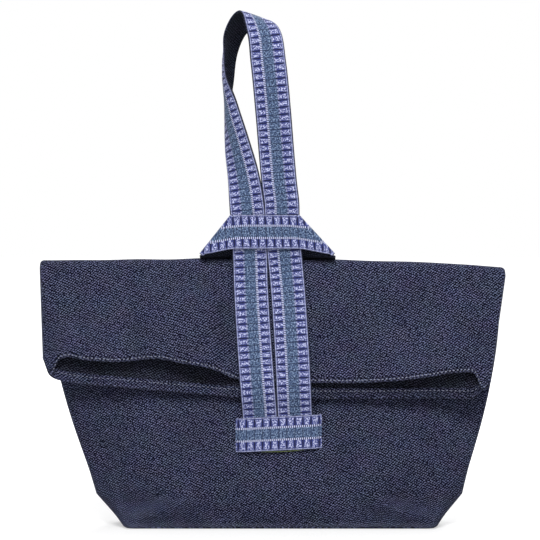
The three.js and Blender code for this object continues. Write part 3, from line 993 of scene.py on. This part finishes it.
    def build(self) -> list[bpy.types.Object]:
        """Builds the base, both cloths and the hem stitches.

        Returns:
            The pieces.
        """
        form = self.form
        half = form.base_width / 2 - self.bottom_round
        off = self.across(half)
        full = form.base_depth / 2
        depth = form.half_depth(off / half, 0) * self.pinch(half - np.abs(off)) * (full - self.bottom_round) / full
        level = np.full_like(off, self.cloth / 2)
        points = np.stack([np.stack([off, v * depth, level], axis=1) for v in np.linspace(1, -1, 25)])
        base = cloth_sheet("base", points, points[..., :2], self.cloth, [self.denim])
        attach(base, "bag")
        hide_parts("base_panel")

        axis, out = np.array([0, form.axis_y, form.axis_z]), form.outward()
        made = [base]
        plans = {  # name, where the bend starts and ends, flat size, stitches, the row they follow, CAD nodes
            Panel.BACK: (
                "back_cloth", ((0, 0, form.axis_z), (0, -13.3, form.axis_z)), (0.43, 0.39),
                StitchRows(length=2.1, gap=1.5, width=1.1, height=0.7), self.lip_row - 1,
                ("back_panel", "flap_outer", "outer_hem", "left_side_seam", "right_side_seam"),
            ),
            Panel.FRONT: (
                "front_cloth", (axis - 0.2 * out, axis + 3.4 * out), (0.43, 0.40),
                StitchRows(length=2.2, gap=1.6, width=0.6, height=0.35), -2,
                ("front_panel", "flap_inner", "inner_hem", "flap_left_seam", "flap_right_seam"),
            ),
        }
        for panel, (name, bend, flat, stitches, row, nodes) in plans.items():
            points, uv = self.cut(panel)
            piece = cloth_sheet(name, points, uv, self.cloth, [self.denim, self.shaded_inside], self.wear_and_shade(panel, points))
            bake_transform(piece)
            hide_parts(*nodes)
            face = sheet_normals(points)[row, 8:-8]
            lines = [(points[row, 8:-8] + face * self.cloth / 2, face)]
            sewn = stitches.sew(name + "_hem_stitches", lines, self.thread)
            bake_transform(sewn)
            made += [piece, sewn]
        return made


@dataclass
class LongStrap:
    """The strap of ribbon on denim: from the front patch up both strips, through the keeper and round the loop."""

    form: BagForm
    ribbon: bpy.types.Material
    lining: bpy.types.Material
    thread: bpy.types.Material
    margin: float = 0.4  # how far the dark backing shows beside the ribbon: partly the backing's real edge, partly a dark edge that stands in for the shade in the gaps beside the strips
    spread: float = 16.0  # from the strap's middle to a strip's middle
    bow: float = 0.95  # how much further apart the strips lie half-way up
    gather: float = 0.5  # and how much closer together in the keeper
    step: float = 2.4
    split_low: float = 226.0  # the strips end and the necks start at this height
    split_high: float = 262.0  # and here the loop starts
    sewn_face: tuple = (0.1, 0.1, 0.08, 0.04, -0.02, -0.08, -0.02, 0.0, -0.05, -0.15)  # from the middle to an edge

    def knots(self) -> Array:
        """Places and facings along the whole strap, from its right foot round the loop to its left foot.

        Returns:
            One row for each knot: its place, the direction that the ribbon faces, and how far it curls across.
        """
        profile = [
            (72.5, -32.3), (80, -31.0), (90, -29.3), (98, -27.9), (102, -27.6), (107, -28.6), (113, -31.0),
            (118, -32.8), (122, -33.2), (127, -33.6), (131, -34.1), (135, -33.8), (142, -32.6), (150, -31.2),
            (165, -28.55), (180, -25.95), (195, -23.35), (210, -20.75), (222, -18.7), (230, -17.5), (237, -17.2),
            (244, -18.0), (251, -19.05), (258, STRAP_Y), (270, STRAP_Y), (283, STRAP_Y),
        ]
        loop = [
            (1.2, 0, 293, 0, -1, 0, 0), (-1.0, -1.5, 312, 0, -1, 0, 0), (-3, -3, 334, 0, -1, 0, 0),
            (-6.6, -8, 378, 0, -1, 0.05, 0), (-11, -12, 422, 0.1, -0.95, 0.2, 0), (-15, -9, 448.6, 0.2, -0.75, 0.6, 0),
            (-26, 6, 465.4, 0.2, 0.1, 1, 0.2), (-43, 19.5, 451.5, -0.72, 0.52, 0.42, 0.7),
            (-49.4, 25, 434, -0.9, 0.36, 0.12, 1.2), (-51.8, 24, 408, -1, 0.2, 0, 1.5),
            (-48.4, 16, 378, -0.92, -0.4, 0, 1.2), (-40.8, 8, 348, -0.7, -0.71, 0, 0.5),
            (-34.2, 3, 320, -0.45, -0.89, 0, 0.2), (-30.6, 0, 295, -0.15, -0.98, 0, 0),
        ]
        strips = {}
        for side in Side:
            strips[side] = []
            for z, y in profile:
                part = self.spread + self.bow * math.sin(math.pi * min(max((z - 110) / 150, 0), 1))
                part -= self.gather * float(smoothstep(z, 215, 250))
                strips[side].append((float(self.form.strap_x(z)) + side.value * part, y, z, 0, -1, 0, 0))
        round_loop = [(x, STRAP_Y + y, z, *facing) for x, y, z, *facing in loop]
        return np.array(strips[Side.RIGHT] + round_loop + strips[Side.LEFT][::-1], float)

    def stations(self) -> tuple[Array, Array, Array, Array]:
        """The strap's middle line at even steps.

        Returns:
            The places, the directions along it, the facings and the curl from edge to edge, in radians.
        """
        knots = self.knots()
        along = run_length(knots[:, :3])
        at = np.linspace(0, along[-1], int(along[-1] / self.step))
        rows = smooth_through(along, knots, at)
        places, facing, curl = rows[:, :3], rows[:, 3:6], np.maximum(rows[:, 6], 1e-4)
        ahead = unit(np.gradient(places, axis=0))
        facing = unit(facing - ahead * np.sum(facing * ahead, axis=1, keepdims=True))
        return places, ahead, facing, curl

    def surface(self, first: int, last: int, lift: float, margin: float = 0.0) -> tuple[Array, Array]:
        """One stretch of one layer.

        Args:
            first: First station.
            last: Last station.
            lift: The layer's distance from the strap's middle.
            margin: How much wider than the ribbon the layer is on each side.

        Returns:
            The points and the flat coordinates.
        """
        places, ahead, facing, curl = self.stations()
        along = run_length(places)
        across = np.cross(ahead, facing)
        offsets = ribbon_columns() * (1 + 2 * margin / RIBBON_WIDTH)
        height = lift + np.array(self.sewn_face[:0:-1] + self.sewn_face)
        cut = slice(first, last + 1)
        bend = (curl / RIBBON_WIDTH)[cut, None]
        turn = bend * offsets
        side = np.sin(turn) / bend + height * np.sin(turn)
        out = (np.cos(turn) - 1) / bend + height * np.cos(turn)
        points = places[cut, None] + across[cut, None] * side[..., None] + facing[cut, None] * out[..., None]
        uv = np.stack(np.broadcast_arrays(RIBBON_WIDTH / 2 - offsets[None, :], along[cut, None]), axis=-1)
        return points, uv

    def build(self) -> list[bpy.types.Object]:
        """Builds both layers of each stretch and their edge stitches.

        Returns:
            The pieces.
        """
        places = self.stations()[0]
        crest = int(np.argmax(places[:, 2]))
        up, down = places[:crest, 2], places[crest:, 2]
        low_right = int(np.argmax(up > self.split_low))
        high_right = int(np.argmax(up > self.split_high))
        high_left = crest + int(np.argmax(down < self.split_high))
        low_left = crest + int(np.argmax(down < self.split_low))
        end = len(places) - 1
        strip_bend = ("bag", "flap", 105, 136)
        bridge_bend = ("flap", "bag", 229, 257)
        loop_bend = ("bag", "carry_loop", 279, 293)
        plans = [
            ("right_strip", 0, low_right, strip_bend, ("right_strip", "right_tail")),
            ("right_neck", low_right, high_right, bridge_bend, ("right_neck",)),
            ("carry_loop", high_right, high_left, loop_bend, ("loop",)),
            ("left_neck", high_left, low_left, bridge_bend, ("left_neck",)),
            ("left_strip", low_left, end, strip_bend, ("left_strip", "left_tail")),
        ]
        made = []
        for name, first, last, (from_body, to_body, low, high), nodes in plans:
            for layer, material in ((Layer.RIBBON, self.ribbon), (Layer.BACKING, self.lining)):
                lift, thickness = layer.value
                points, uv = self.surface(first, last, lift, self.margin if layer is Layer.BACKING else 0.0)
                kind = layer.name.lower()
                piece = cloth_sheet(f"{name}_strap_{kind}", points, uv, thickness, [material])
                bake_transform(piece)
                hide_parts(*(f"{node}_{kind}" for node in nodes))
                made.append(piece)
            points, _ = self.surface(first, last, Layer.RIBBON.face())
            normals = sheet_normals(points)
            lines = [(points[:, k], normals[:, k]) for k in SEAM_COLUMNS]
            sewn = StitchRows().sew(f"{name}_strap_stitches", lines, self.thread)
            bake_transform(sewn)
            made.append(sewn)
        return made


@dataclass
class Keeper:
    """The short loop of the same strap: sewn to the back, over the crest, folded on a slant and across the strap."""

    form: BagForm
    ribbon: bpy.types.Material
    lining: bpy.types.Material
    thread: bpy.types.Material
    width: float = RIBBON_WIDTH
    top_reach: float = 29.6
    leg_spread: float = 1.5
    leg_foot: float = 72.5  # a leg is sewn down at this height
    leg_lift: float = 2.15  # from the back cloth's middle to a leg's middle
    crest_reach: float = 11.65  # from the fold's axis to a leg's middle
    band_low: float = 252.8
    tip_low: float = 247.8
    band_y: float = -21.78
    fold_round: float = 2.5
    fold_inset: float = 0.9  # share of the rounding that lies inside the slanting line
    band_share: float = 0.93  # the band runs this far towards the folds
    belly: float = 0.5  # how far it stands out in the middle

    def leg(self, side: Side, t: Array) -> list[Array]:
        """A leg's rows from the back patch up to the start of its fold.

        Args:
            side: Left or right.
            t: Places across the ribbon, 0 at the outer edge.

        Returns:
            The rows.
        """
        form = self.form
        reach = side.value * (self.top_reach + self.leg_spread + self.width * (1 - t))
        line = [(float(form.half_depth(0, z)) + self.leg_lift, z) for z in np.linspace(self.leg_foot, 218, 32)]
        over = self.crest_reach * np.exp(1j * np.radians(np.linspace(12, 92, 11)))
        line += list(zip(form.axis_y + over.real, form.axis_z + over.imag))
        rows = []
        for y, z in line:
            x = form.strap_x(z) + reach
            rise = form.crest_rise(x) * float(smoothstep(z, 205, 240))
            rows.append(np.stack([x, np.full_like(t, y), z + rise], axis=1))
        crest = rows[-1]
        end = self.fold(side, t)[0]
        knee = np.stack([crest[:, 0], end[:, 1], crest[:, 2] + 0.2], axis=1)
        for share in np.linspace(0, 1, 12)[1:-1]:
            rows.append((1 - share) ** 2 * crest + 2 * share * (1 - share) * knee + share**2 * end)
        return rows

    def fold(self, side: Side, t: Array) -> list[Array]:
        """The rows round a slanting fold, from the leg to the band.

        Args:
            side: Left or right.
            t: Places across the ribbon.

        Returns:
            The rows.
        """
        z = self.tip_low + (self.band_low + self.width - self.tip_low) * t
        x = self.form.strap_x(z) + side.value * (self.top_reach + self.width * (1 - t))
        line = np.stack([x, np.full_like(x, STRAP_Y), z], axis=1)
        run = unit(line[np.argmax(t)] - line[np.argmin(t)])
        out = np.array([side.value * run[2], 0, -side.value * run[0]])
        line = line - out * self.fold_round * self.fold_inset
        rows = []
        for turn in np.radians(np.linspace(0, 180, 11)):
            rows.append(line + self.fold_round * (math.sin(turn) * out + math.cos(turn) * np.array([0, 1, 0])))
        return rows

    def band(self, t: Array) -> list[Array]:
        """The rows of the band across the strap, from left to right.

        Args:
            t: Places across the ribbon.

        Returns:
            The rows.
        """
        rows = []
        for share in np.linspace(-self.band_share, self.band_share, 45):
            rel = share * (self.top_reach + self.width * (1 - t))
            sag = (self.band_low - self.tip_low) * (1 - t) * smoothstep(abs(share), 0.45, 1.0)
            z = self.band_low + self.width * t - sag
            y = np.full_like(t, self.band_y - self.belly * (1 - share * share))
            rows.append(np.stack([self.form.strap_x(z) + rel, y, z], axis=1))
        return rows

    def build(self) -> list[bpy.types.Object]:
        """Builds the keeper's two layers and its edge stitches.

        Returns:
            The pieces.
        """
        t = 0.5 - ribbon_columns() / self.width  # from the upper edge to the lower one
        left = self.leg(Side.LEFT, t) + self.fold(Side.LEFT, t)
        right = self.leg(Side.RIGHT, t) + self.fold(Side.RIGHT, t)
        middle = np.stack(left + self.band(t) + right[::-1])
        normals = sheet_normals(middle)
        along = run_length(middle)
        along -= along[len(middle) // 2]
        uv = np.stack([np.broadcast_to(self.width * (1 - t), along.shape), along], axis=-1)
        made = []
        for layer, material in ((Layer.RIBBON, self.ribbon), (Layer.BACKING, self.lining)):
            lift, thickness = layer.value
            kind = layer.name.lower()
            piece = cloth_sheet(f"keeper_{kind}", middle + normals * lift, uv, thickness, [material], even=False)
            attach(piece, "bag")
            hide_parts(*(f"{node}_{kind}" for node in ("keeper_band", "left_leg", "right_leg")))
            made.append(piece)
        face = middle + normals * Layer.RIBBON.face()
        lines = [(face[:, k], normals[:, k]) for k in SEAM_COLUMNS]
        sewn = StitchRows().sew("keeper_stitches", lines, self.thread)
        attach(sewn, "bag")
        return made + [sewn]


@dataclass
class RibbonPatch:
    """A piece of ribbon sewn flat over strap ends."""

    form: BagForm
    ribbon: bpy.types.Material
    thread: bpy.types.Material
    node: str
    panel: Panel
    reach: float  # to the outer edge of the strap ends under it
    tilt: float = 0.0
    border: float = 7.4
    bottom: float = 70.5
    height: float = 30.6
    shift: float = 1.1
    cloth: float = 0.8
    lift: float = 1.25  # from the body's cloth
    step_up: float = 2.8  # over the strap ends
    rounding: float = 0.25  # how far the edges sink
    edging_lift: float = 2.6  # from the body's cloth
    edging_cloth: float = 0.5
    edging: bpy.types.Material | None = None  # a thread of another colour that shows under the lower edge

    def build(self) -> list[bpy.types.Object]:
        """Builds the patch and the stitches round it.

        Returns:
            The pieces.
        """
        half = self.reach + self.border
        lean = math.tan(math.radians(self.tilt))
        flat_x, flat_z = np.meshgrid(np.linspace(-half, half, 61), self.bottom + self.height * np.linspace(0, 1, 21))
        z = flat_z + flat_x * lean
        over = 1 - smoothstep(np.abs(flat_x), self.reach + 0.8, self.reach + self.border * 0.75)
        edge = np.minimum(half - np.abs(flat_x), np.minimum(flat_z - self.bottom, self.bottom + self.height - flat_z))
        lift = self.lift + self.step_up * over - self.rounding * (1 - smoothstep(edge, 0, 1.2))
        depth = np.array([[float(self.form.half_depth(0, float(h))) for h in row] for row in z])
        middle = self.form.strap_foot_x + self.shift
        points = np.stack([middle + flat_x, self.panel.value * (depth + lift), z], axis=-1)
        uv = np.stack([RIBBON_WIDTH * (flat_z - self.bottom) / self.height, flat_x], axis=-1)
        if self.panel is Panel.BACK:
            points, uv = points[:, ::-1], uv[:, ::-1]
        patch = cloth_sheet(self.node + "_ribbon", points, uv, self.cloth, [self.ribbon])
        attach(patch, "bag")
        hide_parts(self.node)
        normals = sheet_normals(points)
        face = points + normals * (self.cloth / 2 + STITCH_LIFT)
        loops = [(face[r], normals[r]) for r in (1, -2)] + [(face[1:-1, c], normals[1:-1, c]) for c in (1, -2)]
        sewn = StitchRows().sew(self.node + "_stitches", loops, self.thread)
        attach(sewn, "bag")
        return [patch, sewn, self.trim(lean)] if self.edging else [patch, sewn]

    def trim(self, lean: float) -> bpy.types.Object:
        """Lays the thread of another colour along the lower edge, where it sags between its ends.

        Args:
            lean: The patch's slope.

        Returns:
            The piece.
        """
        start, end, sag = -16, 23, 0.9
        spread = np.linspace(start, end, 27)
        from_middle = (spread - (start + end) / 2) / ((end - start) / 2)
        low = self.bottom + spread * lean - sag * (1 - from_middle**2)
        depth = float(self.form.half_depth(0, self.bottom)) + self.edging_lift
        out = np.full_like(spread, self.panel.value * depth)
        middle = self.form.strap_foot_x + self.shift
        strip = np.stack([np.stack([middle + spread, out, low + up], axis=-1) for up in (-0.5, 0.0, 0.4)])
        thread = cloth_sheet(self.node + "_edging", strip, strip[..., [0, 2]], self.edging_cloth, [self.edging])
        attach(thread, "bag")
        return thread


@dataclass
class Studio:
    """A plain pale floor, soft light and the camera."""

    lens: float = 150.0
    sensor: float = 36.0
    distance: float = 2.05
    aim: tuple = (-0.0094, -0.015, 0.2335)
    elevation: float = 1.0
    room_light: float = 0.29
    paper: str = "#c4c4c4"
    white: str = "#ffffff"
    lamps: tuple = (  # name, place, watts and width
        ("key_lamp", (-0.1, -1.65, 1.75), 41.0, 0.9),
        ("fill_lamp", (1.6, -1.9, 0.9), 4.0, 1.6),
        ("top_lamp", (0.0, 0.3, 2.4), 12.0, 1.6),
        ("back_lamp", (0.7, 2.2, 1.3), 42.0, 1.4),
    )

    def looked_at(self, tree: bpy.types.NodeTree) -> bpy.types.NodeSocket:
        """Tells whether a surface is seen, also in a gloss or through glass, and not only felt as light.

        Args:
            tree: The node tree.

        Returns:
            1 where it is seen.
        """
        path = add_node(tree, "ShaderNodeLightPath").outputs
        seen = path["Is Camera Ray"]
        for ray in ("Is Glossy Ray", "Is Transmission Ray"):
            seen = add_node(tree, "ShaderNodeMath", {0: seen, 1: path[ray]}, operation="MAXIMUM").outputs[0]
        return seen

    def floor(self) -> None:
        """Adds a floor that is seen as white and keeps the bag's shadow."""
        bpy.ops.object.select_all(action="DESELECT")
        bpy.ops.mesh.primitive_plane_add(size=40, location=(0, 0, -0.0005))
        ground = bpy.context.active_object
        ground.name = "floor"
        bpy.ops.object.transform_apply(location=True)
        made, tree = new_finish("matt_white_paper")
        place = add_node(tree, "ShaderNodeTexCoord").outputs["Object"]
        away = add_node(tree, "ShaderNodeVectorMath", {0: place}, operation="LENGTH").outputs["Value"]
        glow = add_node(tree, "ShaderNodeMapRange", {0: away, 1: 0.3, 2: 0.9, 3: 0.5, 4: 1.0}).outputs[0]
        seen = add_node(tree, "ShaderNodeMath", {0: self.looked_at(tree), 1: glow}, operation="MULTIPLY").outputs[0]
        paper = {"Base Color": linear(self.paper), "Roughness": 0.9}
        glowing = {"Emission Color": linear(self.white), "Emission Strength": seen}
        feed(tree.nodes["Principled BSDF"], {**paper, **glowing})
        ground.data.materials.append(made)

    def lamp(self, name: str, place: tuple[float, float, float], power: float, size: float) -> None:
        """Adds one large soft lamp that looks at the bag.

        Args:
            name: The lamp's name.
            place: Where it stands, in metres.
            power: Watts.
            size: Width of its panel, in metres.
        """
        data = bpy.data.lights.new(name, "AREA")
        data.energy, data.size, data.shape = power, size, "SQUARE"
        made = bpy.data.objects.new(name, data)
        bpy.context.scene.collection.objects.link(made)
        made.location = place
        made.rotation_euler = (made.location - Vector(self.aim)).to_track_quat("Z", "Y").to_euler()

    def light(self) -> None:
        """Adds the lamps and the even light of the room."""
        for name, place, power, size in self.lamps:
            self.lamp(name, place, power, size)
        world = bpy.data.worlds.new("white_room")
        bpy.context.scene.world = world
        world.use_nodes = True
        tree = world.node_tree
        levels = {0: self.looked_at(tree), 1: 0, 2: 1, 3: self.room_light, 4: 1.0}
        strength = add_node(tree, "ShaderNodeMapRange", levels).outputs[0]
        feed(tree.nodes["Background"], {"Color": linear(self.white), "Strength": strength})

    def camera(self) -> None:
        """Adds the camera at the photograph's view."""
        data = bpy.data.cameras.new("camera")
        data.lens, data.sensor_width = self.lens, self.sensor
        made = bpy.data.objects.new("camera", data)
        bpy.context.scene.collection.objects.link(made)
        turn = math.radians(self.elevation)
        aim = Vector(self.aim)
        made.location = aim + Vector((0, -math.cos(turn), math.sin(turn))) * self.distance
        made.rotation_euler = (made.location - aim).to_track_quat("Z", "Y").to_euler()
        bpy.context.scene.camera = made


def main() -> None:
    """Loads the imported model, builds every piece on it and reports each one."""
    logging.basicConfig(level=logging.INFO, format="%(name)s: %(message)s")
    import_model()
    studio = Studio()
    studio.camera()
    form = BagForm()
    denim = DenimTwill().material()
    # the inner face: dark like the cloth's inner side, and darker still as painted shade inside the mouth and the bag
    shaded_inside = DenimTwill("denim_twill_inside", "#010106", "#10121d", "#4c5062").material()
    lining = DenimTwill("denim_twill_black", "#06070d", "#141721", "#3a3e50").material()
    ribbon = JacquardRibbon().material()
    cross_ribbon = JacquardRibbon(name="jacquard_ribbon_long_repeat", dots=DotRows.BOTH, pitch_mm=7.3).material()
    navy_thread = SewingThread("polyester_thread_navy", "#23284a").material()
    denim_thread = SewingThread("polyester_thread_denim", "#888ca0").material()
    pieces = DenimShell(form, denim, shaded_inside, denim_thread).build()
    pieces += LongStrap(form, ribbon, lining, navy_thread).build()
    pieces += Keeper(form, cross_ribbon, lining, navy_thread).build()
    front_patch = RibbonPatch(form, cross_ribbon, navy_thread, "front_patch", Panel.FRONT, reach=31.5, tilt=2.8)
    front_patch.edging = SewingThread("cotton_thread_olive", "#66743f").material()
    pieces += front_patch.build()
    pieces += RibbonPatch(form, cross_ribbon, navy_thread, "back_patch", Panel.BACK, reach=63.3).build()
    for piece in pieces:
        LOG.info("%s: %d faces", piece.name, len(piece.data.polygons))
    studio.floor()
    studio.light()
    bpy.context.scene.view_settings.view_transform = "Standard"


if __name__ == "__main__":
    main()
